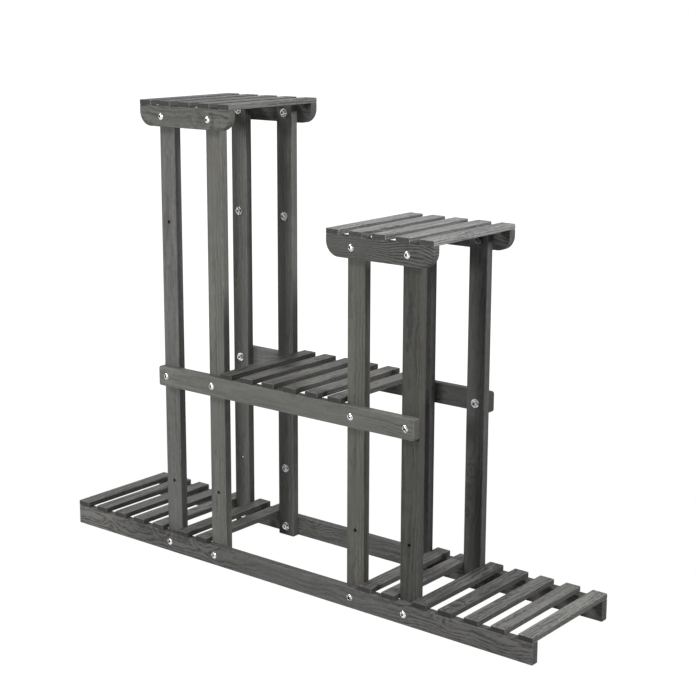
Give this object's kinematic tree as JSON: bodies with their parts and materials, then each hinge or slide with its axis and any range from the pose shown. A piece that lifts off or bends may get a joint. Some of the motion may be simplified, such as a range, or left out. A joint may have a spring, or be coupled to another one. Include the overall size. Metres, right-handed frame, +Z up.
{
  "type": "tiered plant stand",
  "caption": "Slatted wooden plant stand: a high and a low tower on long floor rails, with a middle shelf between them and low shelves at both ends.",
  "frame": {"origin": "on the floor, under the middle of the stand", "axes": "+X along the length towards the low tower, +Y to the back, +Z up"},
  "size_m": [1.2, 0.2746, 0.966],
  "materials": {
    "rail_wood": "grey wash over brushed softwood, matt",
    "post_wood": "grey wash over brushed softwood, matt",
    "slat_wood": "grey wash over brushed softwood, matt",
    "bolt_steel": "zinc plated, bright",
    "washer_steel": "zinc plated, bright",
    "nut_steel": "zinc plated, bright",
    "nail_steel": "plain steel, dull"
  },
  "bodies": {
    "root": {"bottom_bolts": "bolt_steel", "bottom_front_rail": "rail_wood", "bottom_left_end_slat_1": "slat_wood", "bottom_left_end_slat_2": "slat_wood", "bottom_left_end_slat_3": "slat_wood", "bottom_left_end_slat_4": "slat_wood", "bottom_left_end_slat_5": "slat_wood", "bottom_left_tower_slat_1": "slat_wood", "bottom_left_tower_slat_2": "slat_wood", "bottom_nuts": "nut_steel", "bottom_rear_rail": "rail_wood", "bottom_right_end_slat_1": "slat_wood", "bottom_right_end_slat_2": "slat_wood", "bottom_right_end_slat_3": "slat_wood", "bottom_right_end_slat_4": "slat_wood", "bottom_right_end_slat_5": "slat_wood", "bottom_right_tower_slat_1": "slat_wood", "bottom_right_tower_slat_2": "slat_wood", "bottom_washers": "washer_steel", "high_tower_front_beam": "rail_wood", "high_tower_front_inner_post": "post_wood", "high_tower_front_outer_post": "post_wood", "high_tower_rear_beam": "rail_wood", "high_tower_rear_inner_post": "post_wood", "high_tower_rear_outer_post": "post_wood", "high_tower_top_slat_1": "slat_wood", "high_tower_top_slat_2": "slat_wood", "high_tower_top_slat_3": "slat_wood", "high_tower_top_slat_4": "slat_wood", "high_tower_top_slat_5": "slat_wood", "low_tower_front_beam": "rail_wood", "low_tower_front_inner_post": "post_wood", "low_tower_front_outer_post": "post_wood", "low_tower_rear_beam": "rail_wood", "low_tower_rear_inner_post": "post_wood", "low_tower_rear_outer_post": "post_wood", "low_tower_top_slat_1": "slat_wood", "low_tower_top_slat_2": "slat_wood", "low_tower_top_slat_3": "slat_wood", "low_tower_top_slat_4": "slat_wood", "low_tower_top_slat_5": "slat_wood", "middle_bolts": "bolt_steel", "middle_front_rail": "rail_wood", "middle_nuts": "nut_steel", "middle_rear_rail": "rail_wood", "middle_slat_1": "slat_wood", "middle_slat_2": "slat_wood", "middle_slat_3": "slat_wood", "middle_slat_4": "slat_wood", "middle_slat_5": "slat_wood", "middle_slat_6": "slat_wood", "middle_washers": "washer_steel", "slat_nails": "nail_steel", "spare_hole_bolts": "bolt_steel", "spare_hole_nuts": "nut_steel", "spare_hole_washers": "washer_steel", "top_bolts": "bolt_steel", "top_nuts": "nut_steel", "top_washers": "washer_steel"}
  },
  "joints": []
}
